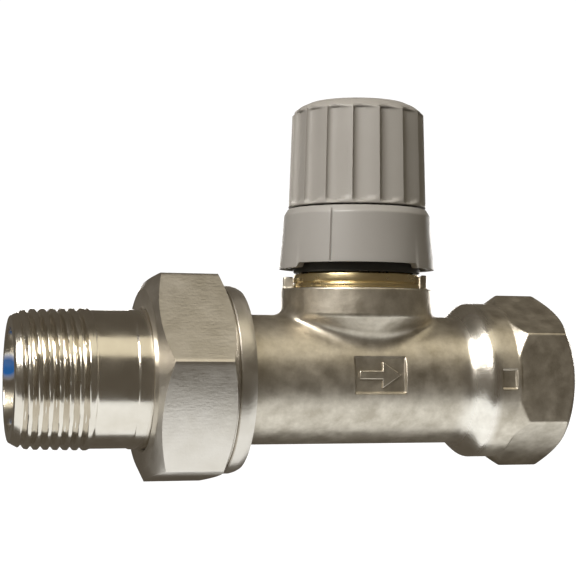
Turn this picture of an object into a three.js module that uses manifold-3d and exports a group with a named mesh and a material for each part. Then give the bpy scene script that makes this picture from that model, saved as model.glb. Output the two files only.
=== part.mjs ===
// Straight lockshield radiator valve, 3/4 inch (DN 20), nickel-plated brass with a two-part grey cap.
// Millimetres, +Z up along the spindle, +X out of the female pipe port, origin at the middle of that port's end face.
// The radiator tailpiece and its union nut point to -X.
import * as THREE from "three";
import { mergeVertices } from "three/addons/utils/BufferGeometryUtils.js";
import Module from "manifold-3d";

const wasm = await Module();
wasm.setup();

// Driving dimensions
const TOTAL_LENGTH = 108.2; // tailpiece end to port face
const UNION_SEAT_X = -75.6; // end of the body, inside the union nut
const SPINDLE_X = -40.5; // spindle and neck axis, from the port face
const GAP = 0.3; // clearance left between pieces that touch
const TUBE_R = 12.55; // outside of the body tube
const NECK_R = 14.8;
const NECK_TOP_Z = 17.8;
const BAND_R = 15.4; // round band beside the port hexagon
const PORT_HEX_FLATS = 30; // across flats
const PORT_HEX_LENGTH = 12.1;
const FEATURE_TURN = 3; // degrees that the hexagon and marks stand off the neck, about the flow line
const PORT_THREAD_R = 12.05; // Rp 3/4 at its crests
const PORT_THREAD_DEPTH = 16.3;
const PASSAGE_R = 9; // waterway
const UNION_THREAD_R = 16.4; // G 1 on the body, at its crests
const NUT_FLATS = 37; // across flats
const NUT_TURN = 10; // degrees that the nut stands off a corner-forward position
const TAIL_THREAD_R = 13.3; // R 3/4 at its crests
const TAIL_THREAD_PITCH = 1.814;
const TAIL_THREAD_LENGTH = 14.3;
const TAIL_BORE_R = 9.6;
const SEAT_CONE_R = 13.6; // mouth of the cone that the tailpiece nose closes on
const SEAT_CONE_LENGTH = 4;
const FLANGE_R = 12.5; // bonnet flange, the bare brass ring above the neck
const SEAT_Z = 2; // top of the valve seat
const SEAT_HOLE_R = 6;
const CHAMBER_R = 10.5; // upper chamber and bonnet bore
const CAP_TOP_Z = 54.5;
const COLLAR_TOP_Z = 33.5;
const COLLAR_BOTTOM_Z = 22.6;
const COLLAR_TOP_R = 14.5;
const COLLAR_BOTTOM_R = 15.3;
const CAP_TURN = -18; // degrees that the lugs and the collar's feet stand off the flow line
const KNOB_TOP_R = 13.05;
const KNOB_BOTTOM_R = 13.6;
const KNOB_FLUTES = 16;
const FLUTE_DEPTH = 0.7;
const ROUND = 40; // facets of a large turned piece
const SMALL_ROUND = 24;

const finishes = {
  nickel: { color: 0xb9b2a4, roughness: 0.35, metalness: 1 },
  brass: { color: 0xc9a95c, roughness: 0.28, metalness: 1 },
  grey_plastic: { color: 0xa9a59d, roughness: 0.5, metalness: 0 },
  rubber: { color: 0x1b1b1c, roughness: 0.8, metalness: 0 },
  white_plastic: { color: 0xe6e4dc, roughness: 0.6, metalness: 0 },
  steel: { color: 0xb4b6b8, roughness: 0.3, metalness: 1 },
};

// Solids

function solid(geometry) {
  const bare = geometry.clone();
  bare.deleteAttribute("normal");
  bare.deleteAttribute("uv");
  const merged = mergeVertices(bare, 1e-4);
  return new wasm.Manifold(
    new wasm.Mesh({
      numProp: 3,
      vertProperties: merged.attributes.position.array,
      triVerts: new Uint32Array(merged.index.array),
    }),
  );
}

function geometryOf(manifold) {
  const mesh = manifold.getMesh();
  return new THREE.BufferGeometry()
    .setAttribute("position", new THREE.BufferAttribute(mesh.vertProperties, 3))
    .setIndex(new THREE.BufferAttribute(mesh.triVerts, 1));
}

// A turned solid about +Z. The profile is a closed loop of [radius, height], with the metal on its left.
function turned(profile, facets = ROUND) {
  const points = profile.map(([r, z]) => new THREE.Vector2(r, z));
  if (profile.every(([r]) => r > 0)) points.push(points[0].clone());
  return solid(new THREE.LatheGeometry(points, facets).rotateX(Math.PI / 2));
}

// A turned ring or sleeve of rectangular section.
function ring(inner, outer, low, high, facets = SMALL_ROUND) {
  return turned([[inner, low], [outer, low], [outer, high], [inner, high]], facets);
}

// A turned bar with flat ends.
function bar(radius, low, high, facets = SMALL_ROUND) {
  return turned([[0, low], [radius, low], [radius, high], [0, high]], facets);
}

// A rubber ring of round section about +Z.
function oRing(middle, cord, z) {
  return solid(new THREE.TorusGeometry(middle, cord / 2, 8, SMALL_ROUND).translate(0, 0, z));
}

// A hexagonal bar about +Z with a corner on +X, turned by some degrees.
function hexagon(flats, low, high, turn = 0) {
  const corner = flats / Math.sqrt(3);
  const bar6 = new THREE.CylinderGeometry(corner, corner, high - low, 6, 1, false, Math.PI / 2);
  bar6.rotateX(Math.PI / 2).rotateZ(THREE.MathUtils.degToRad(turn));
  return solid(bar6.translate(0, 0, (low + high) / 2));
}

function block(x, y, z, at) {
  return solid(new THREE.BoxGeometry(x, y, z).translate(...at));
}

// Turns a solid that was made about +Z so that it lies along +X.
function alongX(made) {
  return made.rotate([0, 90, 0]);
}

function atSpindle(made) {
  return made.translate([SPINDLE_X, 0, 0]);
}

function piece(name, made, finish) {
  const material = new THREE.MeshStandardMaterial(finishes[finish]);
  const mesh = new THREE.Mesh(geometryOf(made), material);
  mesh.name = name;
  return mesh;
}

// Valve body: union spigot, tube, flare, round band, port hexagon, and the neck for the headwork.

function bodyOutside() {
  const flareStart = -21.6;
  const bandStart = -16.9;
  const bandEnd = -PORT_HEX_LENGTH;
  const spigotEnd = -66.6;
  const sweep = 5;
  const flare = [];
  for (let i = 1; i < sweep; i++) {
    const share = i / sweep;
    const rise = (1 - Math.cos(Math.PI * share)) / 2;
    flare.push([TUBE_R + (BAND_R - TUBE_R) * rise, flareStart + (bandStart - flareStart) * share]);
  }
  const turnedShape = turned([
    [0, UNION_SEAT_X],
    [UNION_THREAD_R - 1, UNION_SEAT_X],
    [UNION_THREAD_R, UNION_SEAT_X + 1],
    [UNION_THREAD_R, spigotEnd],
    [TUBE_R, spigotEnd + 1.5],
    [TUBE_R, flareStart],
    ...flare,
    [BAND_R, bandStart],
    [BAND_R, bandEnd + 0.5],
    [0, bandEnd + 0.5],
  ]);
  const corner = PORT_HEX_FLATS / Math.sqrt(3);
  const chamfers = turned([
    [0, bandEnd],
    [BAND_R, bandEnd],
    [corner + 0.05, bandEnd + 2.1],
    [corner + 0.05, -2.1],
    [14.5, 0],
    [0, 0],
  ]);
  const hex = hexagon(PORT_HEX_FLATS, bandEnd, 0, -FEATURE_TURN).intersect(chamfers);
  const neck = turned([
    [0, 5],
    [9, 5],
    [9, 6.5],
    [NECK_R, 12.3],
    [NECK_R, NECK_TOP_Z],
    [0, NECK_TOP_Z],
  ]);
  return alongX(turnedShape).add(alongX(hex)).add(atSpindle(neck));
}

function bodyInside() {
  const floorZ = -9.5;
  const shelfUnderside = SEAT_Z - 3;
  const wall = 2.5;
  const leftEnd = SPINDLE_X - CHAMBER_R - wall;
  const rightStart = SPINDLE_X + CHAMBER_R + wall;
  const upperRoof = 8.5;
  const passages = [
    turned([
      [0, UNION_SEAT_X - 1],
      [SEAT_CONE_R, UNION_SEAT_X - 1],
      [SEAT_CONE_R, UNION_SEAT_X],
      [PASSAGE_R, UNION_SEAT_X + SEAT_CONE_LENGTH],
      [PASSAGE_R, leftEnd],
      [0, leftEnd],
    ]),
    turned([
      [0, rightStart],
      [PASSAGE_R, rightStart],
      [PASSAGE_R, -PORT_THREAD_DEPTH - 1.5],
      [PORT_THREAD_R, -PORT_THREAD_DEPTH],
      [PORT_THREAD_R, -1.2],
      [PORT_THREAD_R + 1.3, 0],
      [PORT_THREAD_R + 1.3, 1],
      [0, 1],
    ]),
  ].map(alongX);
  const channelWidth = 13;
  const lowHeight = shelfUnderside - floorZ;
  const lowLength = SPINDLE_X - leftEnd + 2;
  const highHeight = upperRoof - SEAT_Z;
  const highLength = rightStart - SPINDLE_X + 2;
  const round = alongX(bar(PASSAGE_R + 0.5, leftEnd - 2, rightStart + 2, ROUND));
  const lowChannel = block(lowLength, channelWidth, lowHeight, [
    leftEnd - 2 + lowLength / 2,
    0,
    floorZ + lowHeight / 2,
  ]).intersect(round);
  const highChannel = block(highLength, channelWidth, highHeight, [
    rightStart + 2 - highLength / 2,
    0,
    SEAT_Z + highHeight / 2,
  ]).intersect(round);
  const lowerChamber = bar(8, floorZ, shelfUnderside).translate([SPINDLE_X, 0, 0]).intersect(round);
  const chamber = turned([
    [0, SEAT_Z],
    [9, SEAT_Z],
    [9, 8],
    [CHAMBER_R, 9],
    [CHAMBER_R, NECK_TOP_Z + 1],
    [0, NECK_TOP_Z + 1],
  ]);
  const seatHole = bar(SEAT_HOLE_R + 1, shelfUnderside - 1, SEAT_Z + 1);
  return [...passages, lowChannel, highChannel, lowerChamber, atSpindle(chamber), atSpindle(seatHole)];
}

// Two lugs beside the bonnet flange, which keep a fitted head from turning.
function neckLugs() {
  const width = 6;
  const lugs = [
    { side: -1, radius: 14.6, top: 20.1 },
    { side: 1, radius: 13.9, top: 20.6 },
  ];
  return lugs.map(({ side, radius, top }) => {
    const wide = block(NECK_R, width, 10, [(side * NECK_R) / 2, 0, NECK_TOP_Z]);
    const lug = ring(FLANGE_R + GAP, radius, NECK_TOP_Z - 1, top, ROUND).intersect(wide);
    return atSpindle(lug.rotate([0, 0, CAP_TURN]));
  });
}

function valveBody() {
  let made = bodyOutside();
  for (const cut of bodyInside()) made = made.subtract(cut);
  for (const lug of neckLugs()) made = made.add(lug);
  const panel = block(10.5, 2, 7.2, [SPINDLE_X + 0.9, -TUBE_R - 0.4, 0.9]);
  const squareMark = block(3.5, 2, 4.4, [-14.2, -BAND_R - 0.45, 0.8]);
  const marks = panel.add(squareMark).rotate([-FEATURE_TURN, 0, 0]);
  return made.subtract(marks);
}

// Headwork, made about the spindle axis

const FLANGE_TOP_Z = 20.6;
const BONNET_BOTTOM_Z = 13.8;
const BONNET_TOP_Z = 34;
const THREAD_STOP_Z = 22.3; // the spindle thread's shoulder meets the bonnet here when fully open
const PACKING_Z = 27; // floor of the gland
const SPINDLE_R = 4;
const SPINDLE_THREAD_R = 5;
const SPINDLE_GROOVES = [22.9, 25]; // lower edges of the two ring grooves
const GROOVE_HEIGHT = 1.3;
const GLAND_R = 6.7;
const CLIP_Z = 7;

function bonnet() {
  const grooveZ = 15;
  return turned([
    [SPINDLE_THREAD_R + GAP, BONNET_BOTTOM_Z],
    [CHAMBER_R - GAP, BONNET_BOTTOM_Z],
    [CHAMBER_R - GAP, grooveZ],
    [9.2, grooveZ],
    [9.2, grooveZ + GROOVE_HEIGHT],
    [CHAMBER_R - GAP, grooveZ + GROOVE_HEIGHT],
    [CHAMBER_R - GAP, NECK_TOP_Z + GAP],
    [FLANGE_R, NECK_TOP_Z + GAP],
    [FLANGE_R, FLANGE_TOP_Z - 0.3],
    [FLANGE_R - 0.3, FLANGE_TOP_Z],
    [11, FLANGE_TOP_Z],
    [11, 24.5],
    [10, 25],
    [10, 27],
    [11, 27.5],
    [11, 29],
    [8.5, 29.6],
    [8.5, BONNET_TOP_Z],
    [GLAND_R + GAP, BONNET_TOP_Z],
    [GLAND_R + GAP, PACKING_Z],
    [SPINDLE_R + GAP, PACKING_Z],
    [SPINDLE_R + GAP, THREAD_STOP_Z],
    [SPINDLE_THREAD_R + GAP, THREAD_STOP_Z],
  ]);
}

function glandNut() {
  const sleeve = ring(SPINDLE_R + GAP, GLAND_R, PACKING_Z + 3, BONNET_TOP_Z + 1);
  const bore = bar(SPINDLE_R + GAP, BONNET_TOP_Z, 38);
  return sleeve.add(hexagon(13, BONNET_TOP_Z + GAP, 37.5).subtract(bore));
}

function spindle() {
  const rest = SPINDLE_GROOVES.flatMap((z) => [
    [SPINDLE_R, z],
    [3.1, z],
    [3.1, z + GROOVE_HEIGHT],
    [SPINDLE_R, z + GROOVE_HEIGHT],
  ]);
  const shaft = turned(
    [
      [0, 5.6],
      [3.4, 5.6],
      [3.4, CLIP_Z - 0.2],
      [2.6, CLIP_Z - 0.2],
      [2.6, CLIP_Z + 0.8],
      [3.4, CLIP_Z + 0.8],
      [3.4, 9.8],
      [SPINDLE_THREAD_R, 10.4],
      [SPINDLE_THREAD_R, 17.6],
      [SPINDLE_R, 18.2],
      ...rest,
      [SPINDLE_R, 40.8],
      [3.2, 41.6],
      [0, 41.6],
    ],
    SMALL_ROUND,
  );
  const squareStart = 36; // a 6 mm square end for the setting key
  const lower = block(20, 20, squareStart, [0, 0, squareStart / 2]);
  return shaft.intersect(lower.add(block(6, 6, 20, [0, 0, squareStart])));
}

// The cone swivels on the spindle's foot, so it rises without turning on the seat.
function valveCone() {
  const outside = turned([[0, 4.3], [6.8, 4.3], [6.8, 7.2], [5.4, 9], [0, 9]], SMALL_ROUND);
  const socket = bar(3.7, 5.3, 10);
  const clipGroove = ring(3.6, 4.6, CLIP_Z - 0.2, CLIP_Z + 0.8);
  return outside.subtract(socket).subtract(clipGroove).subtract(bar(1.9, 4, 6));
}

function openRing(inner, outer, low, high, slot) {
  const cut = block(outer * 2, slot, (high - low) * 3, [outer, 0, (low + high) / 2]);
  return ring(inner, outer, low, high).subtract(cut);
}

function washerScrew() {
  const made = turned([[0, 0.7], [3.2, 0.7], [3.2, SEAT_Z], [1.6, SEAT_Z], [1.6, 5], [0, 5]], SMALL_ROUND);
  return made.subtract(block(8, 0.8, 1.2, [0, 0, 0.7]));
}

// Cap, made about the spindle axis

const STUB_R = 11.2; // threaded stub of the collar, inside the knob
const STUB_TOP_Z = 48.5;
const CROWN_Z = 50.9; // underside of the knob's top

function capCollar() {
  const feetBottom = COLLAR_BOTTOM_Z - 0.9;
  const across = block(40, 20.3, 4, [0, 0, COLLAR_BOTTOM_Z - 1]);
  const feet = ring(13.6, COLLAR_BOTTOM_R, feetBottom, COLLAR_BOTTOM_Z + 0.3, ROUND)
    .intersect(across)
    .rotate([0, 0, CAP_TURN]);
  const shell = turned([
    [13.6, COLLAR_BOTTOM_Z],
    [COLLAR_BOTTOM_R, COLLAR_BOTTOM_Z],
    [COLLAR_BOTTOM_R, COLLAR_BOTTOM_Z + 0.6],
    [COLLAR_TOP_R, COLLAR_TOP_Z],
    [STUB_R, COLLAR_TOP_Z],
    [STUB_R, STUB_TOP_Z],
    [9.4, STUB_TOP_Z],
    [9.4, 31],
    [12.6, 30.6],
    [12.6, 28.4],
    [11.4, 28],
    [11.4, 24],
    [13.6, 23.6],
  ]);
  return shell.add(feet);
}

function knobOutline() {
  const outline = new THREE.Shape();
  const steps = 4;
  for (let i = 0; i < KNOB_FLUTES * steps; i++) {
    const angle = (i * 2 * Math.PI) / (KNOB_FLUTES * steps);
    const share = (i % steps) / steps;
    const radius = KNOB_BOTTOM_R - FLUTE_DEPTH * Math.sin(Math.PI * share);
    const x = radius * Math.cos(angle);
    const y = radius * Math.sin(angle);
    if (i === 0) outline.moveTo(x, y);
    else outline.lineTo(x, y);
  }
  return outline;
}

function capKnob() {
  const low = COLLAR_TOP_Z + GAP;
  const depth = CAP_TOP_Z - low;
  const fluted = new THREE.ExtrudeGeometry(knobOutline(), { depth, bevelEnabled: false });
  const envelope = turned([
    [0, low],
    [KNOB_BOTTOM_R, low],
    [KNOB_TOP_R, CAP_TOP_Z - 2.1],
    [KNOB_TOP_R - 1.7, CAP_TOP_Z - 0.8],
    [KNOB_TOP_R - 3.5, CAP_TOP_Z],
    [0, CAP_TOP_Z],
  ]);
  const bore = bar(STUB_R + GAP, low - 1, CROWN_Z, ROUND);
  return solid(fluted.translate(0, 0, low)).intersect(envelope).subtract(bore);
}

// Union, made about the flow line: +Z here stands for +X

const NUT_BACK = -65.2;
const NUT_COLLAR = -68.9;
const NUT_COLLAR_R = 18;
const NUT_FRONT = -83.4;
const NUT_SHOULDER = -81.2;
const TAIL_COLLAR_R = 15.9;
const TAIL_COLLAR = -79.8;
const TAIL_SHANK_R = 13;

function unionNut() {
  const corner = NUT_FLATS / Math.sqrt(3) + 0.05;
  const outside = turned([
    [0, NUT_FRONT],
    [17.2, NUT_FRONT],
    [corner, NUT_FRONT + 2.2],
    [corner, NUT_COLLAR - 1.6],
    [18.3, NUT_COLLAR],
    [0, NUT_COLLAR],
  ]);
  const hex = hexagon(NUT_FLATS, NUT_FRONT, NUT_COLLAR, 90 - NUT_TURN).intersect(outside);
  const collar = turned([
    [0, NUT_COLLAR - 1],
    [NUT_COLLAR_R, NUT_COLLAR - 1],
    [NUT_COLLAR_R, NUT_BACK - 1.6],
    [NUT_COLLAR_R - 0.6, NUT_BACK],
    [0, NUT_BACK],
  ]);
  const inside = turned([
    [0, NUT_FRONT - 1],
    [13.4, NUT_FRONT - 1],
    [13.4, NUT_SHOULDER],
    [UNION_THREAD_R + 0.2, NUT_SHOULDER],
    [UNION_THREAD_R + 0.2, NUT_BACK + 1],
    [0, NUT_BACK + 1],
  ]);
  return hex.add(collar).subtract(inside);
}

// Thread grooves of the tapered pipe thread, as rings.
function tailThread(end) {
  const depth = 1.16;
  const crest = 0.45;
  const taper = 1 / 32;
  const first = 2.2;
  const count = Math.floor((TAIL_THREAD_LENGTH - first) / TAIL_THREAD_PITCH);
  const profile = [];
  for (let i = 0; i < count; i++) {
    const x = first + i * TAIL_THREAD_PITCH;
    const radius = TAIL_THREAD_R - (TAIL_THREAD_LENGTH - x) * taper;
    profile.push([radius, end + x], [radius, end + x + crest]);
    profile.push([radius - depth, end + x + (TAIL_THREAD_PITCH + crest) / 2]);
  }
  return profile;
}

function noseRadius(x) {
  return SEAT_CONE_R - 0.4 - ((x - UNION_SEAT_X) * (SEAT_CONE_R - PASSAGE_R)) / SEAT_CONE_LENGTH;
}

function tailpiece() {
  const end = -TOTAL_LENGTH;
  const shank = end + TAIL_THREAD_LENGTH;
  const grooveStart = UNION_SEAT_X + 0.6;
  const grooveEnd = UNION_SEAT_X + 1.8;
  const nose = UNION_SEAT_X + 2.6;
  return turned([
    [TAIL_BORE_R, end],
    [TAIL_THREAD_R - 1.6, end],
    [TAIL_THREAD_R - 0.5, end + 2],
    ...tailThread(end),
    [TAIL_THREAD_R, shank],
    [TAIL_SHANK_R, shank + 0.6],
    [TAIL_SHANK_R, TAIL_COLLAR],
    [TAIL_COLLAR_R, TAIL_COLLAR],
    [TAIL_COLLAR_R, UNION_SEAT_X - 2.2],
    [noseRadius(UNION_SEAT_X - GAP) + 0.2, UNION_SEAT_X - GAP],
    [noseRadius(grooveStart), grooveStart],
    [10.8, grooveStart],
    [10.8, grooveEnd],
    [noseRadius(grooveEnd), grooveEnd],
    [noseRadius(nose), nose],
    [TAIL_BORE_R, nose],
  ]);
}

// The assembly

function line() {
  const group = new THREE.Group();
  group.rotation.y = Math.PI / 2;
  group.add(piece("union_nut", unionNut(), "nickel"));
  group.add(piece("tailpiece", tailpiece(), "nickel"));
  const washer = ring(13.4, 16.2, NUT_SHOULDER + 0.25, TAIL_COLLAR - 0.25, ROUND);
  group.add(piece("union_slip_washer", washer, "steel"));
  group.add(piece("tailpiece_o_ring", oRing(11.4, 0.9, UNION_SEAT_X + 1.2), "rubber"));
  return group;
}

function headwork() {
  const group = new THREE.Group();
  const seatLining = ring(SEAT_HOLE_R - 0.2, SEAT_HOLE_R + 1 - GAP, SEAT_Z - 2.8, SEAT_Z);
  group.add(piece("seat_ring", seatLining, "steel"));
  group.add(piece("bonnet", bonnet(), "brass"));
  group.add(piece("bonnet_o_ring", oRing(9.75, 0.9, 15.65), "rubber"));
  const packing = ring(SPINDLE_R + GAP, GLAND_R, PACKING_Z + GAP, PACKING_Z + 2.7);
  group.add(piece("gland_packing", packing, "white_plastic"));
  group.add(piece("gland_nut", glandNut(), "brass"));
  return group;
}

function spindleAndCone() {
  const group = new THREE.Group();
  group.add(piece("spindle", spindle(), "brass"));
  SPINDLE_GROOVES.forEach((z, i) => {
    const name = ["spindle_o_ring_lower", "spindle_o_ring_upper"][i];
    group.add(piece(name, oRing(3.6, 0.85, z + GROOVE_HEIGHT / 2), "rubber"));
  });
  group.add(piece("valve_cone", valveCone(), "brass"));
  group.add(piece("cone_clip", openRing(2.9, 4.3, CLIP_Z, CLIP_Z + 0.6, 3), "steel"));
  group.add(piece("seat_washer", ring(1.9, 7.2, SEAT_Z + GAP, 4), "rubber"));
  group.add(piece("washer_screw", washerScrew(), "steel"));
  return group;
}

function cap() {
  const group = new THREE.Group();
  group.add(piece("cap_collar", capCollar(), "grey_plastic"));
  group.add(piece("collar_snap_ring", openRing(10.3, 11.1, 25.3, 26.7, 6), "steel"));
  group.add(piece("cap_knob", capKnob(), "grey_plastic"));
  const dustRing = ring(11.3, 12.5, FLANGE_TOP_Z + GAP, 23.3, ROUND);
  group.add(piece("collar_dust_ring", dustRing, "rubber"));
  group.add(piece("cap_seal_disc", bar(11, STUB_TOP_Z + GAP, CROWN_Z - GAP), "rubber"));
  return group;
}

const lockshieldValve = new THREE.Group();
lockshieldValve.name = "lockshield_valve";
lockshieldValve.add(piece("valve_body", valveBody(), "nickel"));
lockshieldValve.add(line());
for (const upright of [headwork(), spindleAndCone(), cap()]) {
  upright.position.x = SPINDLE_X;
  lockshieldValve.add(upright);
}
export default lockshieldValve;
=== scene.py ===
import math

import bmesh
import bpy
import numpy as np
from mathutils import Matrix, Vector


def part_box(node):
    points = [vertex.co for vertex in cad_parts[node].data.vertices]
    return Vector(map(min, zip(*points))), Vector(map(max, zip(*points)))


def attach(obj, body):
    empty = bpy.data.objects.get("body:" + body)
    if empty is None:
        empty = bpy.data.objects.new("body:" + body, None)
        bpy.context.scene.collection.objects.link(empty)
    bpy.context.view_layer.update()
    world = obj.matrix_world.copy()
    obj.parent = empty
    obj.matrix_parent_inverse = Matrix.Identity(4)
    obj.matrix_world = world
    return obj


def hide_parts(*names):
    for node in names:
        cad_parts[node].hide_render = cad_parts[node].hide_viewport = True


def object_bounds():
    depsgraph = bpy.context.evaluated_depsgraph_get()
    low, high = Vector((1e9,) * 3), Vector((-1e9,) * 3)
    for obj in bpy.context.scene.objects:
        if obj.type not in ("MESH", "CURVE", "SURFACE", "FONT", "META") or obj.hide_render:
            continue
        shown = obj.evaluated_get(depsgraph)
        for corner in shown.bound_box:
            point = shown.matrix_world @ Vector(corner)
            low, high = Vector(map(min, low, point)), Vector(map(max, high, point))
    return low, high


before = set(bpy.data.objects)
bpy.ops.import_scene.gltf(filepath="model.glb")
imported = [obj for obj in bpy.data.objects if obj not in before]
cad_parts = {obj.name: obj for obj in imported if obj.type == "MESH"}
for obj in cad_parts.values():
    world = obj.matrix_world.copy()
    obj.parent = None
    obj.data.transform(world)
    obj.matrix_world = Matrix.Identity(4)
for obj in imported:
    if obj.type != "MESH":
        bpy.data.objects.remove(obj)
cad_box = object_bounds()

MM = 0.001


def span(node):
    """Lowest and highest corner of a CAD node, in millimetres."""
    low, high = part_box(node)
    return np.array(low) / MM, np.array(high) / MM


# Sizes from the frame

BODY_LOW, BODY_HIGH = span("valve_body")
NUT_LOW, NUT_HIGH = span("union_nut")
BONNET_LOW, BONNET_HIGH = span("bonnet")
COLLAR_LOW, COLLAR_HIGH = span("cap_collar")
KNOB_LOW, KNOB_HIGH = span("cap_knob")

SPINDLE_X = (BONNET_LOW[0] + BONNET_HIGH[0]) / 2
UNION_END = BODY_LOW[0]
TAIL_END = span("tailpiece")[0][0]
NUT_FRONT = NUT_LOW[0]
NUT_BACK = NUT_HIGH[0]
GAP = 0.3  # clearance between pieces that touch

# Sizes of the body, in millimetres. Places along the flow line count from the port's end face.

TUBE_R = 12.55
NECK_R = 14.8
NECK_TOP = 17.8
NECK_EDGE = 12.3  # height of the edge between the neck's side and the cone below it
NECK_BLEND = 2.6  # fillet between neck and tube
BAND_R = 15.4  # round band beside the port hexagon
BAND_START = -16.9
FLARE_START = -21.6
HEX_START = -12.1
HEX_HALF = 15.0  # half its width across flats
HEX_CHAMFER = 2.1
PORT_FACE_R = 14.5
FEATURE_TURN = math.radians(3)  # hexagon, panel and mark, about the flow line
CAP_TURN = math.radians(-18)  # lugs and collar feet, about the spindle
LUGS = ((-1, 14.6, 20.1), (1, 13.9, 20.6))  # side, radius and top
LUG_HALF = 3
SPIGOT_R = 16.4  # union thread at its crests
SPIGOT_END = -66.6
SEAT_MOUTH_R = 13.6  # mouth of the cone that the tailpiece's nose closes on
SEAT_CONE_LENGTH = 4
UNION_PITCH = 2.309
PIPE_PITCH = 1.814
PASSAGE_R = 9.0
PORT_THREAD_R = 12.05
PORT_THREAD_DEPTH = 16.3
FLANGE_R = 12.5
PANEL_X, PANEL_Z = SPINDLE_X + 0.9, 0.6  # middle of the sunken panel
PANEL_HALF_X, PANEL_HALF_Z, PANEL_DEPTH = 5.1, 3.35, 0.75
MARK_X, MARK_Z = -14.2, -0.2  # middle of the square mark
MARK_HALF_X, MARK_HALF_Z, MARK_DEPTH = 1.5, 1.8, 0.55
PAINT_AT = ((TAIL_END + 0.8) * MM, 9.0 * MM, 2.0 * MM)


# Meshes


def piece(name, points, faces, body, node, material, sharp=30):
    """A closed mesh in millimetres that stands for a CAD node and rides on its body."""
    mesh = bpy.data.meshes.new(name)
    mesh.from_pydata((np.asarray(points) * MM).tolist(), [], faces)
    tidy = bmesh.new()
    tidy.from_mesh(mesh)
    bmesh.ops.remove_doubles(tidy, verts=tidy.verts, dist=0.002 * MM)
    bmesh.ops.recalc_face_normals(tidy, faces=tidy.faces)
    tidy.to_mesh(mesh)
    tidy.free()
    mesh.shade_smooth()
    mesh.set_sharp_from_angle(angle=math.radians(sharp))
    made = bpy.data.objects.new(name, mesh)
    bpy.context.scene.collection.objects.link(made)
    mesh.materials.append(material)
    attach(made, body)
    if node:
        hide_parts(node)
    return made


def loop_faces(rows, columns):
    """Quads of a grid that closes on itself both ways."""
    faces = []
    for i in range(rows):
        below = ((i + 1) % rows) * columns
        for j in range(columns):
            k = (j + 1) % columns
            faces.append((i * columns + j, i * columns + k, below + k, below + j))
    return faces


def eased(profile, size=0.25, steps=3):
    """A closed profile with each corner rounded off."""
    corners = [np.array(p, float) for p in profile]
    out = []
    for i, corner in enumerate(corners):
        before = corners[i - 1] - corner
        after = corners[(i + 1) % len(corners)] - corner
        reach_before = min(size, np.linalg.norm(before) * 0.45)
        reach_after = min(size, np.linalg.norm(after) * 0.45)
        start = corner + before / np.linalg.norm(before) * reach_before
        end = corner + after / np.linalg.norm(after) * reach_after
        for k in range(steps + 1):
            t = k / steps
            out.append(start * (1 - t) ** 2 + corner * 2 * t * (1 - t) + end * t * t)
    return out


def refined(profile, step):
    """A closed profile with its long straight stretches cut into steps."""
    out = []
    for i, point in enumerate(profile):
        following = np.array(profile[(i + 1) % len(profile)])
        parts = max(1, int(np.linalg.norm(following - point) / step))
        for k in range(parts):
            out.append(point + (following - point) * k / parts)
    return out


def turned_points(profile, angles, axis, radius_at=None, height_at=None):
    """Points of a turned shape: one row for each profile point, one column for each angle."""
    radii = np.array([p[0] for p in profile])[:, None]
    heights = np.array([p[1] for p in profile])[:, None]
    around = np.asarray(angles)[None, :]
    radii = radius_at(radii, heights, around) if radius_at else radii + around * 0
    heights = height_at(heights, around) if height_at else heights + around * 0
    across, up = radii * np.cos(around), radii * np.sin(around)
    if axis == "X":
        return np.stack([heights, across, up], axis=-1).reshape(-1, 3)
    return np.stack([SPINDLE_X + across, up, heights], axis=-1).reshape(-1, 3)


def full_turn(count):
    """Evenly spaced angles of one turn."""
    return np.linspace(0, 2 * math.pi, count, endpoint=False)


def ridge(phase):
    """A thread's section: 0 in the groove and 1 on the crest, once for each whole number."""
    share = phase - np.floor(phase)
    return np.clip(1.5 * (1 - np.abs(2 * share - 1)), 0, 1)


def soft_min(a, b, width):
    """The smaller of two distances, rounded where they meet."""
    share = np.clip(0.5 + 0.5 * (b - a) / width, 0, 1)
    return b + (a - b) * share - width * share * (1 - share)


def soft_max(a, b, width):
    """The larger of two distances, rounded where they meet."""
    return -soft_min(-a, -b, width)


# Materials


def new_material(name, **values):
    """A material, its node tree and its shader. The values go on the shader's sockets."""
    material = bpy.data.materials.new(name)
    material.use_nodes = True
    shader = material.node_tree.nodes["Principled BSDF"]
    for key, value in values.items():
        shader.inputs[key.replace("_", " ")].default_value = value
    return material, material.node_tree, shader


def noise(tree, scale, detail=4, stretch=(1, 1, 1), roughness=0.55):
    """Noise in the object's own coordinates. Scale is in bumps for each metre."""
    place = tree.nodes.new("ShaderNodeTexCoord")
    mapping = tree.nodes.new("ShaderNodeMapping")
    mapping.inputs["Scale"].default_value = stretch
    texture = tree.nodes.new("ShaderNodeTexNoise")
    texture.inputs["Scale"].default_value = scale
    texture.inputs["Detail"].default_value = detail
    texture.inputs["Roughness"].default_value = roughness
    tree.links.new(place.outputs["Object"], mapping.inputs["Vector"])
    tree.links.new(mapping.outputs["Vector"], texture.inputs["Vector"])
    return texture.outputs["Fac"]


def ramp(tree, source, stops):
    """A colour ramp from a list of (position, colour)."""
    node = tree.nodes.new("ShaderNodeValToRGB")
    elements = node.color_ramp.elements
    while len(elements) < len(stops):
        elements.new(0.5)
    for element, (position, colour) in zip(elements, stops):
        element.position = position
        element.color = (*colour, 1)
    tree.links.new(source, node.inputs["Fac"])
    return node.outputs["Color"]


def spread(tree, source, low, high):
    """A number between low and high that follows a noise."""
    node = tree.nodes.new("ShaderNodeMapRange")
    node.inputs["From Min"].default_value = 0.3
    node.inputs["From Max"].default_value = 0.7
    node.inputs["To Min"].default_value = low
    node.inputs["To Max"].default_value = high
    tree.links.new(source, node.inputs["Value"])
    return node.outputs["Result"]


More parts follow.
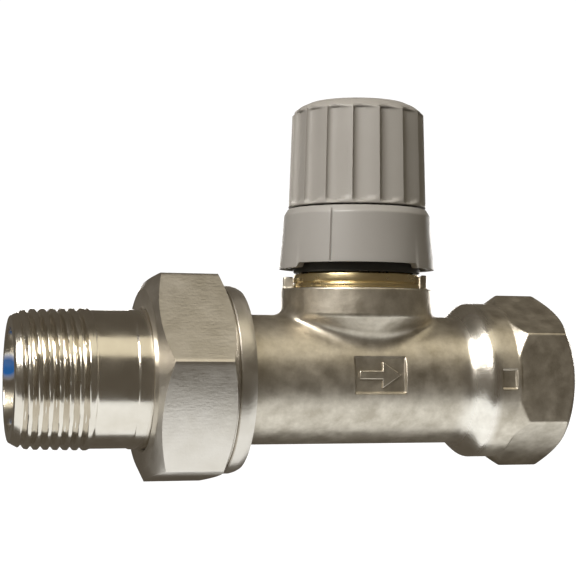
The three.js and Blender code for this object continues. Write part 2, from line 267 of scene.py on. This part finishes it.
def bumps(tree, shader, layers):
    """Bump from several (height source, distance in metres, strength) layers."""
    normal = None
    for source, distance, strength in layers:
        node = tree.nodes.new("ShaderNodeBump")
        node.inputs["Distance"].default_value = distance
        node.inputs["Strength"].default_value = strength
        tree.links.new(source, node.inputs["Height"])
        if normal is not None:
            tree.links.new(normal, node.inputs["Normal"])
        normal = node.outputs["Normal"]
    tree.links.new(normal, shader.inputs["Normal"])


def plated_metal(name, dark, light, rough, grain, scratch_stretch=(1, 1, 1), scratch=0.3):
    """Nickel or brass with cloudy colour, uneven polish, fine grain and tool marks."""
    material, tree, shader = new_material(name, Metallic=1.0)
    cloud = noise(tree, 90, 5)
    tree.links.new(ramp(tree, cloud, [(0.3, dark), (0.7, light)]), shader.inputs["Base Color"])
    tree.links.new(spread(tree, noise(tree, 260, 6), *rough), shader.inputs["Roughness"])
    fine = noise(tree, 1500, 2)
    marks = noise(tree, 700, 2, scratch_stretch, 0.5)
    bumps(tree, shader, [(fine, 0.00010, grain), (marks, 0.00006, scratch)])
    return material


def moulded_plastic(name, dark, light, rough, grain=0.12):
    """Moulded plastic with faint colour clouds and a fine spark-eroded grain."""
    material, tree, shader = new_material(name, IOR=1.5)
    cloud = noise(tree, 60, 3)
    tree.links.new(ramp(tree, cloud, [(0.3, dark), (0.7, light)]), shader.inputs["Base Color"])
    tree.links.new(spread(tree, noise(tree, 500, 3), *rough), shader.inputs["Roughness"])
    sparks = noise(tree, 5000, 2)
    sink = noise(tree, 120, 2)
    bumps(tree, shader, [(sparks, 0.00004, grain), (sink, 0.0003, 0.05)])
    return material


def step_between(tree, place, low, high):
    """Goes from 0 at one place to 1 at the other, in metres, and stays level outside them."""
    node = tree.nodes.new("ShaderNodeMapRange")
    node.inputs["From Min"].default_value = low
    node.inputs["From Max"].default_value = high
    tree.links.new(place, node.inputs["Value"])
    return node.outputs["Result"]


def painted_metal():
    """Bright nickel plate with a dab of blue marking paint inside the mouth of the tailpiece."""
    dark, light = (0.60, 0.55, 0.47), (0.74, 0.70, 0.62)
    material = plated_metal("turned_nickel", dark, light, (0.15, 0.24), 0.06, (5, 0.3, 0.3), 0.2)
    tree = material.node_tree
    shader = tree.nodes["Principled BSDF"]
    place = tree.nodes.new("ShaderNodeTexCoord")
    away = tree.nodes.new("ShaderNodeVectorMath")
    away.operation = "DISTANCE"
    away.inputs[1].default_value = PAINT_AT
    tree.links.new(place.outputs["Object"], away.inputs[0])
    dab = step_between(tree, away.outputs["Value"], 0.0028, 0.0014)
    tone = tree.nodes.new("ShaderNodeMix")
    tone.data_type = "RGBA"
    tone.inputs["B"].default_value = (0.02, 0.13, 0.42, 1)
    tree.links.new(dab, tone.inputs["Factor"])
    tree.links.new(shader.inputs["Base Color"].links[0].from_socket, tone.inputs["A"])
    tree.links.new(tone.outputs["Result"], shader.inputs["Base Color"])
    dull = tree.nodes.new("ShaderNodeMath")
    dull.operation = "SUBTRACT"
    dull.inputs[0].default_value = 1
    tree.links.new(dab, dull.inputs[1])
    tree.links.new(dull.outputs["Value"], shader.inputs["Metallic"])
    return material


def forged_metal():
    """Shot-blasted nickel plate, smoother and brighter on the turned flare beside the port."""
    material, tree, shader = new_material("forged_nickel", Metallic=1.0)
    place = tree.nodes.new("ShaderNodeTexCoord")
    split = tree.nodes.new("ShaderNodeSeparateXYZ")
    tree.links.new(place.outputs["Object"], split.inputs["Vector"])
    starts = step_between(tree, split.outputs["X"], -0.0235, -0.0200)
    ends = step_between(tree, split.outputs["X"], -0.0152, -0.0168)
    turned_part = tree.nodes.new("ShaderNodeMath")
    turned_part.operation = "MULTIPLY"
    tree.links.new(starts, turned_part.inputs[0])
    tree.links.new(ends, turned_part.inputs[1])
    rough = tree.nodes.new("ShaderNodeMix")
    rough.inputs["B"].default_value = 0.26
    tree.links.new(turned_part.outputs["Value"], rough.inputs["Factor"])
    tree.links.new(spread(tree, noise(tree, 300, 5), 0.36, 0.50), rough.inputs["A"])
    tree.links.new(rough.outputs["Result"], shader.inputs["Roughness"])
    cloud = noise(tree, 240, 6, (1, 1, 1), 0.65)
    forged_tone = ramp(tree, cloud, [(0.32, (0.42, 0.375, 0.30)), (0.68, (0.66, 0.605, 0.51))])
    turned_tone = ramp(tree, cloud, [(0.32, (0.66, 0.61, 0.53)), (0.68, (0.80, 0.76, 0.68))])
    tone = tree.nodes.new("ShaderNodeMix")
    tone.data_type = "RGBA"
    tree.links.new(turned_part.outputs["Value"], tone.inputs["Factor"])
    tree.links.new(forged_tone, tone.inputs["A"])
    tree.links.new(turned_tone, tone.inputs["B"])
    tree.links.new(tone.outputs["Result"], shader.inputs["Base Color"])
    dimples = noise(tree, 420, 4)
    blasting = noise(tree, 2200, 2)
    bumps(tree, shader, [(dimples, 0.00022, 0.22), (blasting, 0.00005, 0.3)])
    return material


FORGED = forged_metal()
NUT_METAL = plated_metal(
    "nut_nickel", (0.55, 0.51, 0.44), (0.68, 0.64, 0.58), (0.30, 0.42), 0.25, (0.6, 3, 3), 0.3
)
TURNED = painted_metal()
BRASS = plated_metal(
    "bare_brass", (0.66, 0.52, 0.28), (0.80, 0.67, 0.40), (0.24, 0.34), 0.05, (0.4, 0.4, 6), 0.15
)
STEEL = plated_metal(
    "stainless_steel", (0.50, 0.50, 0.50), (0.62, 0.62, 0.62), (0.22, 0.32), 0.05, (4, 4, 0.5), 0.1
)
KNOB_GREY = moulded_plastic("knob_grey", (0.310, 0.292, 0.268), (0.338, 0.320, 0.296), (0.42, 0.52))
COLLAR_GREY = moulded_plastic("collar_grey", (0.300, 0.285, 0.266), (0.326, 0.311, 0.292), (0.38, 0.48))
RUBBER = moulded_plastic("black_rubber", (0.012, 0.012, 0.013), (0.022, 0.022, 0.024), (0.6, 0.75), 0.3)
# Very dark rubber: part of its darkness is painted shade for the shadow under the cap collar's overhang.
RUBBER_WITH_PAINTED_SHADE = moulded_plastic("rubber_with_painted_shade", (0.040, 0.040, 0.036), (0.052, 0.052, 0.047), (0.5, 0.6), 0.3)
WHITE_PTFE = moulded_plastic("white_ptfe", (0.72, 0.71, 0.67), (0.80, 0.79, 0.76), (0.45, 0.6))


# Valve body: its surface is where a distance is zero


def cylinder(radial, radius, along, low, high, edge=0.3):
    """Distance to a bar with rounded edges, from its radial and lengthwise coordinates."""
    return soft_max(radial - radius, np.maximum(low - along, along - high), edge)


def outside_of_body(x, y, z):
    """Distance to the body as if it were not hollow."""
    radial = np.sqrt(y * y + z * z)
    turn_y = y * math.cos(FEATURE_TURN) - z * math.sin(FEATURE_TURN)
    turn_z = y * math.sin(FEATURE_TURN) + z * math.cos(FEATURE_TURN)
    # tube, flare and band
    share = np.clip((x - FLARE_START) / (BAND_START - FLARE_START), 0, 1)
    swell = TUBE_R + (BAND_R - TUBE_R) * share * share * (3 - 2 * share)
    made = soft_max(radial - swell, np.maximum(SPIGOT_END - x, x - HEX_START - 0.5), 0.4)
    # port hexagon with a cone at each end
    corner = HEX_HALF * 2 / math.sqrt(3)
    third = math.radians(60)
    flats = np.abs(turn_y)
    for k in (1, 2):
        pair = turn_y * math.cos(k * third) + turn_z * math.sin(k * third)
        flats = soft_max(flats, np.abs(pair), 0.35)
    rise, run = corner - BAND_R, HEX_CHAMFER
    back_cone = ((radial - BAND_R) * run - (x - HEX_START) * rise) / math.hypot(rise, run)
    drop = corner - PORT_FACE_R
    front_cone = ((radial - PORT_FACE_R) * run + x * drop) / math.hypot(drop, run)
    hexagon = soft_max(flats - HEX_HALF, np.maximum(HEX_START - x, x), 0.2)
    hexagon = soft_max(hexagon, np.maximum(back_cone, front_cone), 0.2)
    made = soft_min(made, hexagon, 0.25)
    # spigot with the union thread
    angle = np.arctan2(z, y) / (2 * math.pi)
    thread = SPIGOT_R - 1.0 * (1 - ridge((x - UNION_END) / UNION_PITCH - angle))
    bevel = SPIGOT_R - 1.2 + np.minimum(x - UNION_END, SPIGOT_END - x)
    ends = np.maximum(UNION_END - x, x - SPIGOT_END)
    spigot = soft_max(radial - np.minimum(thread, bevel), ends, 0.15)
    made = soft_min(made, spigot, 0.3)
    # neck with its cone, blended into the tube
    from_spindle = np.sqrt((x - SPINDLE_X) ** 2 + y * y)
    cone = (from_spindle - NECK_R + NECK_EDGE - z) / math.sqrt(2)
    neck = soft_max(from_spindle - NECK_R, np.maximum(z - NECK_TOP, 4 - z), 0.35)
    neck = soft_max(neck, cone, 0.4)
    made = soft_min(made, neck, NECK_BLEND)
    # lugs beside the bonnet flange
    along = (x - SPINDLE_X) * math.cos(CAP_TURN) + y * math.sin(CAP_TURN)
    across = y * math.cos(CAP_TURN) - (x - SPINDLE_X) * math.sin(CAP_TURN)
    for side, radius, top in LUGS:
        lug = cylinder(from_spindle, radius, z, NECK_TOP - 1.5, top)
        trim = np.maximum(FLANGE_R + GAP - from_spindle, np.abs(across) - LUG_HALF)
        lug = soft_max(lug, trim, 0.25)
        lug = soft_max(lug, -side * along, 0.2)
        made = soft_min(made, lug, 0.4)
    # sunken panel and square mark
    panel = np.maximum(np.abs(x - PANEL_X) - PANEL_HALF_X, np.abs(turn_z - PANEL_Z) - PANEL_HALF_Z)
    panel = soft_max(panel, turn_y + TUBE_R - PANEL_DEPTH, 0.2)
    square = np.maximum(np.abs(x - MARK_X) - MARK_HALF_X, np.abs(turn_z - MARK_Z) - MARK_HALF_Z)
    square = soft_max(square, turn_y + BAND_R - MARK_DEPTH, 0.2)
    return soft_max(made, -np.minimum(panel, square), 0.25)


def inside_of_body(x, y, z):
    """Distance to the water's space and the thread and headwork bores."""
    chamber_r, throat_r, seat_r, low_r, wall = 10.5, 9.0, 7, 8, 2.5
    floor_z, shelf_z, seat_z, roof_z = -9.5, -1.0, 2.0, 8.5
    channel_half = 6.5
    left = SPINDLE_X - chamber_r - wall
    right = SPINDLE_X + chamber_r + wall
    radial = np.sqrt(y * y + z * z)
    from_spindle = np.sqrt((x - SPINDLE_X) ** 2 + y * y)
    mouth = SEAT_MOUTH_R - (x - UNION_END) * (SEAT_MOUTH_R - PASSAGE_R) / SEAT_CONE_LENGTH
    entry = np.maximum(radial - np.maximum(mouth, PASSAGE_R), x - left)
    exit_bore = np.maximum(radial - PASSAGE_R, np.maximum(right - x, x - 1))
    angle = np.arctan2(z, y) / (2 * math.pi)
    groove = 0.9 * (1 - ridge(x / PIPE_PITCH - angle)) * (x < -1.5)
    socket_r = PORT_THREAD_R + groove + np.clip(1.3 + x, 0, 1.3)
    socket = np.maximum(radial - socket_r, -PORT_THREAD_DEPTH - x)
    pipe = np.maximum(radial - PASSAGE_R - 0.5, np.maximum(left - 2 - x, x - right - 2))
    low_way = np.maximum(np.maximum(x - SPINDLE_X, floor_z - z), z - shelf_z)
    low_way = np.maximum(low_way, np.abs(y) - channel_half)
    high_way = np.maximum(np.maximum(SPINDLE_X - x, seat_z - z), z - roof_z)
    high_way = np.maximum(high_way, np.abs(y) - channel_half)
    under_seat = np.maximum(from_spindle - low_r, np.maximum(floor_z - z, z - shelf_z))
    ways = np.maximum(np.minimum(np.minimum(low_way, high_way), under_seat), pipe)
    upper_r = np.where(z < roof_z, throat_r, chamber_r)
    upper = np.maximum(from_spindle - upper_r, seat_z - z)
    seat_hole = np.maximum(from_spindle - seat_r, np.maximum(shelf_z - 1 - z, z - seat_z - 1))
    hollow = np.minimum(np.minimum(entry, exit_bore), np.minimum(socket, ways))
    return np.minimum(hollow, np.minimum(upper, seat_hole))


def body_distance(x, y, z):
    """Distance to the hollow body, negative in the metal."""
    return soft_max(outside_of_body(x, y, z), -inside_of_body(x, y, z), 0.25)


def slope_of(distance, points):
    """Gradient of a distance at some points."""
    small = 0.02
    columns = []
    for axis in range(3):
        ahead, behind = points.copy(), points.copy()
        ahead[:, axis] += small
        behind[:, axis] -= small
        columns.append((distance(*ahead.T) - distance(*behind.T)) / (2 * small))
    return np.stack(columns, axis=1)


def surface_of(distance, low, high, step):
    """Quads at the zero level of a distance, with a point for each grid cell that it crosses."""
    axes = [np.arange(a, b + step, step) for a, b in zip(low, high)]
    x, y, z = np.meshgrid(*axes, indexing="ij", sparse=True)
    solid = distance(x, y, z) < 0
    count = np.zeros([len(a) - 1 for a in axes], np.int8)
    nx, ny, nz = count.shape
    for i in (0, 1):
        for j in (0, 1):
            for k in (0, 1):
                count += solid[i : i + nx, j : j + ny, k : k + nz]
    crossed = (count > 0) & (count < 8)
    number = np.full(count.shape, -1)
    number[crossed] = np.arange(crossed.sum())
    cells = np.argwhere(crossed)
    points = np.stack([axes[a][cells[:, a]] + step / 2 for a in range(3)], axis=1)
    start = points.copy()
    for _ in range(5):
        slope = slope_of(distance, points)
        size = np.maximum((slope * slope).sum(1), 0.05)
        points = points - (distance(*points.T) / size)[:, None] * slope
        points = start + np.clip(points - start, -step * 0.9, step * 0.9)
    quads = []
    for axis in range(3):
        first = np.moveaxis(solid, axis, 0)
        ids = np.moveaxis(number, axis, 0)
        change = first[1:, 1:-1, 1:-1] != first[:-1, 1:-1, 1:-1]
        i, j, k = np.nonzero(change)
        ring = [ids[i, j, k], ids[i, j + 1, k], ids[i, j + 1, k + 1], ids[i, j, k + 1]]
        quads.append(np.stack(ring, axis=1))
    return points, np.concatenate(quads)


def valve_body():
    """The forged body, thinned out and shaded with the normals of its distance."""
    margin = 0.9
    step = 0.31
    low = [BODY_LOW[0] - margin, -17.9, -17.9]
    high = [BODY_HIGH[0] + margin, 17.9, 21.5]
    points, quads = surface_of(body_distance, low, high, step)
    points = np.clip(points, BODY_LOW, BODY_HIGH)
    faces = quads.tolist()
    made = piece("forged_valve_body", points, faces, "valve", "valve_body", FORGED, 180)
    thin = made.modifiers.new("thin_out", "DECIMATE")
    thin.ratio = 0.5
    bpy.context.view_layer.update()
    result = made.evaluated_get(bpy.context.evaluated_depsgraph_get())
    mesh = bpy.data.meshes.new_from_object(result)
    made.modifiers.clear()
    made.data = mesh
    mesh.shade_smooth()
    places = np.zeros(len(mesh.vertices) * 3)
    mesh.vertices.foreach_get("co", places)
    slope = slope_of(body_distance, places.reshape(-1, 3) / MM)
    slope /= np.maximum(np.linalg.norm(slope, axis=1), 1e-6)[:, None]
    mesh.normals_split_custom_set_from_vertices(slope.tolist())


def flow_arrow():
    """A plain raised arrow in the sunken panel, showing the way the water flows."""
    floor = -TUBE_R + 0.85
    face = -TUBE_R + 0.25
    tip, back, shaft, head = 4.2, 0.4, 0.8, 2.5
    upper = [(back, head), (back, shaft), (-tip, shaft)]
    outline = [(x, -z) for x, z in reversed(upper)] + [(tip, 0)] + upper
    points = []
    for depth in (floor, face):
        for x, z in outline:
            turned = Vector((PANEL_X + x, depth, PANEL_Z + z))
            turned.rotate(Matrix.Rotation(-FEATURE_TURN, 3, "X"))
            points.append(tuple(turned))
    count = len(outline)
    faces = [tuple(range(count)), tuple(range(2 * count - 1, count - 1, -1))]
    for i in range(count):
        j = (i + 1) % count
        faces.append((i, i + count, j + count, j))
    made = piece("flow_arrow", points, faces, "valve", None, FORGED)
    edge = made.modifiers.new("edge", "BEVEL")
    edge.width = 0.15 * MM
    edge.segments = 2


# Union nut


def union_nut():
    """Hexagon with a flat chamfered front and a round collar at the back, threaded inside."""
    corner_turn = math.radians(-10)
    half_flats = 18.5
    corner = half_flats * 2 / math.sqrt(3)
    collar_start = -68.9
    collar_r, neck_r, back_r = 18.0, 17.5, 18.3
    face_r, chamfer_r, back_chamfer = 17.1, 17.3, 1.6
    bore, thread_bore, shoulder = 13.4, 16.6, NUT_FRONT + 2.2
    near = np.array([0, 0.25, 0.5, 0.9, 1.5, 2.4])
    steps = np.concatenate([near, np.linspace(4, 56, 16), 60 - near[:0:-1]])
    angles = np.radians(np.concatenate([steps + 60 * k for k in range(6)])) + corner_turn
    from_flat = np.radians((np.degrees(angles - corner_turn) % 60) - 30)
    worn_corner = np.full(len(angles), corner - 0.08)
    hexagon = soft_min(half_flats / np.cos(from_flat), worn_corner, 0.25)
    rows = []

    def row(radius, x):
        radius = np.broadcast_to(radius, angles.shape)
        x = np.broadcast_to(x, angles.shape)
        rows.append(np.stack([x, radius * np.cos(angles), radius * np.sin(angles)], axis=1))

    front_radii = [face_r, chamfer_r, corner + 0.05]
    front_places = [NUT_FRONT, NUT_FRONT + 0.08, NUT_FRONT + 2.2]
    row(bore + 0.4, NUT_FRONT)
    row(16.9, NUT_FRONT)
    for share in np.linspace(0, 1, 9):
        radius = face_r + (hexagon - face_r) * share
        row(radius, np.interp(radius, front_radii, front_places))
    front_x = np.interp(hexagon, front_radii, front_places)
    back_radii, back_places = [back_r, corner], [collar_start, collar_start - back_chamfer]
    back_x = np.interp(hexagon, back_radii, back_places)
    for share in np.linspace(0.03, 0.97, 8):
        row(hexagon, front_x + (back_x - front_x) * share)
    for share in np.linspace(0, 1, 5):
        radius = hexagon + (back_r - hexagon) * share
        row(radius, np.interp(radius, back_radii, back_places))
    row(neck_r, collar_start + 0.05)
    row(neck_r, collar_start + 0.45)
    row(collar_r - 0.15, collar_start + 0.55)
    row(collar_r, collar_start + 0.75)
    row(collar_r, NUT_BACK - 1.6)
    row(collar_r - 0.25, NUT_BACK - 0.7)
    row(collar_r - 0.6, NUT_BACK)
    row(thread_bore + 0.5, NUT_BACK)
    for x in np.arange(NUT_BACK - 0.4, shoulder + 1, -0.3):
        fade = min(1, (x - shoulder - 1) / 2)
        groove = 1 - ridge(x / UNION_PITCH - angles / (2 * math.pi))
        row(thread_bore + 0.5 * fade * groove, x)
    row(thread_bore, shoulder)
    row(bore, shoulder)
    row(bore, NUT_FRONT + 0.4)
    points = np.concatenate(rows)
    faces = loop_faces(len(rows), len(angles))
    piece("hexagon_union_nut", points, faces, "nut", "union_nut", NUT_METAL, 22)


# Tailpiece with its tapered thread


def tailpiece():
    """Bright turned tailpiece with a helical thread, a collar and a conical nose."""
    crest, bore, shank_r = 13.3, 9.6, 13.0
    shank = TAIL_END + 14.3
    step_x, step_height = -86.1, 0.18
    collar, seat = NUT_FRONT + 3.6, UNION_END
    collar_r, groove_r = 15.9, 10.8
    groove_depth = 0.78
    thread_start = math.radians(218)

    def nose(x):
        slope = (SEAT_MOUTH_R - PASSAGE_R) / SEAT_CONE_LENGTH
        return SEAT_MOUTH_R - 0.4 - (x - seat) * slope

    profile = [
        (bore, TAIL_END),
        (crest - 1.6, TAIL_END),
        (crest - 0.55, TAIL_END + 1.9),
        (crest - 0.25, TAIL_END + 4),
        (crest, shank),
        (shank_r, shank + 0.5),
        (shank_r, step_x),
        (shank_r + step_height, step_x + 0.15),
        (shank_r + step_height, collar),
        (collar_r, collar),
        (collar_r, seat - 2.2),
        (nose(seat - GAP) + 0.2, seat - GAP),
        (nose(seat + 0.6), seat + 0.6),
        (groove_r, seat + 0.6),
        (groove_r, seat + 1.8),
        (nose(seat + 1.8), seat + 1.8),
        (nose(seat + 2.6), seat + 2.6),
        (bore, seat + 2.6),
    ]
    groove_start, groove_end = TAIL_END + 1.2, shank - 0.2

    def threaded(radii, heights, around):
        turns = (around - thread_start) / (2 * math.pi)
        phase = (heights - TAIL_END - 0.2) / PIPE_PITCH - turns
        begin = np.clip((heights - groove_start) / 0.8, 0, 1)
        finish = np.clip((groove_end - heights) / 0.9, 0, 1)
        outer = radii > bore + 1
        return radii - groove_depth * (1 - ridge(phase)) * begin * finish * outer

    def on_thread(point):
        return point[1] < shank + 1 and point[0] > bore + 0.5

    # only the threaded stretch needs close rows
    smooth = eased(profile, 0.2, 2)
    close = [p for p in refined(smooth, 0.16) if on_thread(p)]
    rest = [p for p in smooth if not on_thread(p)]
    start = [p for p in rest if p[1] < shank + 1]
    after = [p for p in rest if p[1] >= shank + 1]
    profile = close + after + start
    angles = full_turn(144)
    points = turned_points(profile, angles, "X", threaded)
    faces = loop_faces(len(profile), len(angles))
    piece("threaded_tailpiece", points, faces, "tail", "tailpiece", TURNED, 40)


# Headwork flange and cap


def dust_ring():
    """Rubber ring between the brass flange and the cap, coloured very dark as painted shade under the
    collar's overhang.
    """
    low, high = span("collar_dust_ring")
    profile = eased([(11.3, low[2]), (12.5, low[2]), (12.5, high[2]), (11.3, high[2])], 0.3, 3)
    angles = full_turn(128)
    points = turned_points(profile, angles, "Z")
    faces = loop_faces(len(profile), len(angles))
    node = "collar_dust_ring"
    # The ring's very dark colour is partly painted shade under the cap collar.
    piece("dust_ring_with_painted_shade", points, faces, "valve", node, RUBBER_WITH_PAINTED_SHADE)


def bonnet():
    """Bare brass headwork, with the flange that shows above the neck."""
    low, high = BONNET_LOW[2], BONNET_HIGH[2]
    flange_low, flange_high = NECK_TOP + GAP * 0.4, 20.6
    profile = [
        (5.3, low),
        (10.2, low),
        (10.2, 15),
        (9.2, 15),
        (9.2, 16.3),
        (10.2, 16.3),
        (10.2, flange_low),
        (FLANGE_R, flange_low),
        (FLANGE_R, flange_low + 0.75),
        (FLANGE_R - 0.22, flange_low + 0.85),
        (FLANGE_R - 0.22, flange_low + 1.0),
        (FLANGE_R - 0.05, flange_low + 1.1),
        (FLANGE_R - 0.05, flange_high),
        (11, flange_high),
        (11, 24.5),
        (10, 25),
        (10, 27),
        (11, 27.5),
        (11, 29),
        (8.5, 29.6),
        (8.5, high),
        (7, high),
        (7, 27),
        (4.3, 27),
        (4.3, 22.3),
        (5.3, 22.3),
    ]
    profile = eased(profile, 0.15, 2)
    angles = full_turn(144)
    points = turned_points(profile, angles, "Z")
    faces = loop_faces(len(profile), len(angles))
    piece("brass_bonnet", points, faces, "valve", "bonnet", BRASS)


def angle_between(angle, centre):
    """Size of the turn between two angles."""
    return np.abs((angle - centre + math.pi) % (2 * math.pi) - math.pi)


def cap_collar():
    """Smooth lower part of the cap, with a seam and two feet, and the stub that holds the knob."""
    low, high = COLLAR_LOW[2], 33.5
    stub_top = COLLAR_HIGH[2]
    bottom_r, top_r = 15.0, 14.45
    profile = [
        (13.6, low),
        (bottom_r, low),
        (bottom_r, low + 1.4),
        (top_r, high - 1.3),
        (top_r - 0.8, high),
        (11.2, high),
        (11.2, stub_top),
        (9.4, stub_top),
        (9.4, 31.6),
        (12.6, 31.2),
        (12.6, 28.4),
        (11.4, 28),
        (11.4, 24),
        (13.6, 23.6),
    ]
    foot_half, front_z = math.radians(41.5), low + 0.9
    seam_angle, seam_depth = math.radians(-128.4), 0.35

    def shaped(radii, heights, around):
        outer = (radii > 14.0) & (heights < high - 1.0)
        envelope = 15.28 - (heights - low) * 0.8 / (high - low)
        foot = on_foot(around)
        out = radii + (envelope - radii) * foot * outer * np.clip((low + 7 - heights) / 6, 0, 1)
        seam = np.clip(1 - angle_between(around, seam_angle) / 0.014, 0, 1)
        return out - seam_depth * seam * outer * (heights > low + 0.6)

    def on_foot(around):
        one, other = angle_between(around, CAP_TURN), angle_between(around, CAP_TURN + math.pi)
        return np.clip((foot_half - np.minimum(one, other)) / 0.03, 0, 1)

    def lifted(heights, around):
        return np.maximum(heights, low + (front_z - low) * (1 - on_foot(around)))

    profile = refined(eased(profile, 0.25, 3), 0.5)
    angles = full_turn(432)
    points = turned_points(profile, angles, "Z", shaped, lifted)
    faces = loop_faces(len(profile), len(angles))
    piece("grey_cap_collar", points, faces, "valve", "cap_collar", COLLAR_GREY, 35)


def cap_knob():
    """Ribbed upper part of the cap. Each flute is deepest beside its first edge."""
    low, high = KNOB_LOW[2], KNOB_HIGH[2]
    bottom_r, top_r, bore = 13.6, 13.05, 11.5
    crown = span("cap_seal_disc")[1][2] + GAP
    flutes, depth = 16, 0.95
    profile = [
        (bore, low),
        (bottom_r, low),
        (bottom_r - 0.02, low + 0.6),
        (top_r, high - 2.1),
        (top_r - 1.7, high - 0.8),
        (top_r - 3.5, high),
        (0.01, high),
        (0.01, crown),
        (bore, crown),
    ]
    first_edge = math.radians(-112.8)

    def fluted(radii, heights, around):
        share = ((around - first_edge) / (2 * math.pi) * flutes) % 1
        scoop = np.sin(math.pi * share**0.5)
        rise = np.clip((heights - low - 0.2 - 0.8 * (1 - scoop)) / 0.45, 0, 1)
        fall = np.clip((high - 1.7 - heights) / 0.6, 0, 1)
        outer = radii > bore + 1
        return radii - depth * scoop * rise * fall * outer

    profile = refined(eased(profile, 0.22, 3), 0.45)
    angles = []
    shares = np.concatenate([[0, 0.012, 0.03, 0.06], np.linspace(0.1, 0.94, 15), [0.975]])
    for k in range(flutes):
        angles.extend(first_edge + (k + shares) * 2 * math.pi / flutes)
    points = turned_points(profile, angles, "Z", fluted)
    faces = loop_faces(len(profile), len(angles))
    piece("ribbed_cap_knob", points, faces, "knob", "cap_knob", KNOB_GREY, 40)


def carried_over():
    """CAD nodes whose shape is right get their own finish."""
    finishes = {
        STEEL: ("seat_ring", "cone_clip", "washer_screw", "collar_snap_ring", "union_slip_washer"),
        BRASS: ("gland_nut", "spindle", "valve_cone"),
        WHITE_PTFE: ("gland_packing",),
        RUBBER: (
            "bonnet_o_ring",
            "spindle_o_ring_lower",
            "spindle_o_ring_upper",
            "tailpiece_o_ring",
            "seat_washer",
            "cap_seal_disc",
        ),
    }
    for material, nodes in finishes.items():
        for node in nodes:
            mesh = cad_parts[node].data
            mesh.materials.clear()
            mesh.materials.append(material)


# Studio


def sheet(name, corners, material):
    """A flat part of the studio."""
    mesh = bpy.data.meshes.new(name)
    mesh.from_pydata(corners, [], [(0, 1, 2, 3)])
    made = bpy.data.objects.new(name, mesh)
    bpy.context.scene.collection.objects.link(made)
    mesh.materials.append(material)
    return made


def area_light(name, place, aim, size, power, colour):
    """A soft rectangular light, in metres and watts."""
    light = bpy.data.lights.new(name, "AREA")
    light.shape = "RECTANGLE"
    light.size, light.size_y = size
    light.energy = power
    light.color = colour
    made = bpy.data.objects.new(name, light)
    made.location = place
    made.rotation_euler = (Vector(aim) - Vector(place)).to_track_quat("-Z", "Y").to_euler()
    bpy.context.scene.collection.objects.link(made)


def glowing(name, colour, strength):
    """A surface that shines by itself and takes no light."""
    material, _, shader = new_material(name, Roughness=1.0)
    shader.inputs["Base Color"].default_value = (0, 0, 0, 1)
    shader.inputs["Emission Color"].default_value = (*colour, 1)
    shader.inputs["Emission Strength"].default_value = strength
    return material


def studio():
    """White room that only the camera sees, soft lights, and a bright floor card that metal mirrors."""
    floor_z = cad_box[0][2] - 0.0003
    paper = glowing("white_paper", (1, 1, 1), 1.05)
    reach, height = 1.5, 2.2
    corners = [(-reach, -reach), (reach, -reach), (reach, reach), (-reach, reach)]
    room = [sheet("floor", [(x, y, floor_z) for x, y in corners], paper)]
    for i, start in enumerate(corners):
        end = corners[(i + 1) % len(corners)]
        wall = [(*start, floor_z), (*end, floor_z), (*end, height), (*start, height)]
        room.append(sheet("backdrop_" + str(i + 1), wall, paper))
    for seen in room:
        seen.visible_glossy = False
        seen.visible_diffuse = False
        seen.visible_shadow = False
    low = floor_z + 0.0001
    left, right, near, far = -0.7, 0.02, -0.036, -0.0062
    card = sheet(
        "floor_card",
        [(left, near, low), (right, near, low), (right, far, low), (left, far, low)],
        glowing("floor_glow", (0.96, 0.985, 1.0), 1.25),
    )
    card.visible_camera = False
    card.visible_diffuse = False
    card.visible_shadow = False
    middle = (SPINDLE_X * MM - 0.01, 0, 0.01)
    area_light("key", (-0.54, -0.40, 0.52), middle, (0.42, 0.42), 8, (1.0, 0.98, 0.95))
    area_light("overhead", (0.05, -0.34, 0.54), middle, (1.3, 0.40), 1.5, (1.0, 0.93, 0.74))
    area_light("back_fill", (0.25, 0.66, 0.07), middle, (0.7, 0.14), 2.2, (1.0, 0.98, 0.95))
    world = bpy.data.worlds.new("studio")
    world.use_nodes = True
    background = world.node_tree.nodes["Background"]
    background.inputs["Color"].default_value = (0.115, 0.10, 0.08, 1)
    background.inputs["Strength"].default_value = 1
    bpy.context.scene.world = world
    bpy.context.scene.view_settings.view_transform = "Standard"


def camera():
    """Long lens, left of the valve's middle and almost level."""
    place = Vector((-0.1358, -0.2752, 0.0074))
    yaw, pitch, roll = 0.2870, 0.0364, 0.0095
    level = math.cos(pitch)
    forward = Vector((math.sin(yaw) * level, math.cos(yaw) * level, math.sin(pitch)))
    right = forward.cross(Vector((0, 0, 1))).normalized()
    up = right.cross(forward)
    across = right * math.cos(roll) + up * math.sin(roll)
    upward = up * math.cos(roll) - right * math.sin(roll)
    lens = bpy.data.cameras.new("camera")
    lens.lens = 91.87
    lens.sensor_width = 36
    lens.clip_start = 0.01
    made = bpy.data.objects.new("camera", lens)
    turn = Matrix((across, upward, -forward)).transposed().to_4x4()
    made.matrix_world = Matrix.Translation(place) @ turn
    bpy.context.scene.collection.objects.link(made)
    bpy.context.scene.camera = made


valve_body()
flow_arrow()
union_nut()
tailpiece()
dust_ring()
bonnet()
cap_collar()
cap_knob()
carried_over()
studio()
camera()
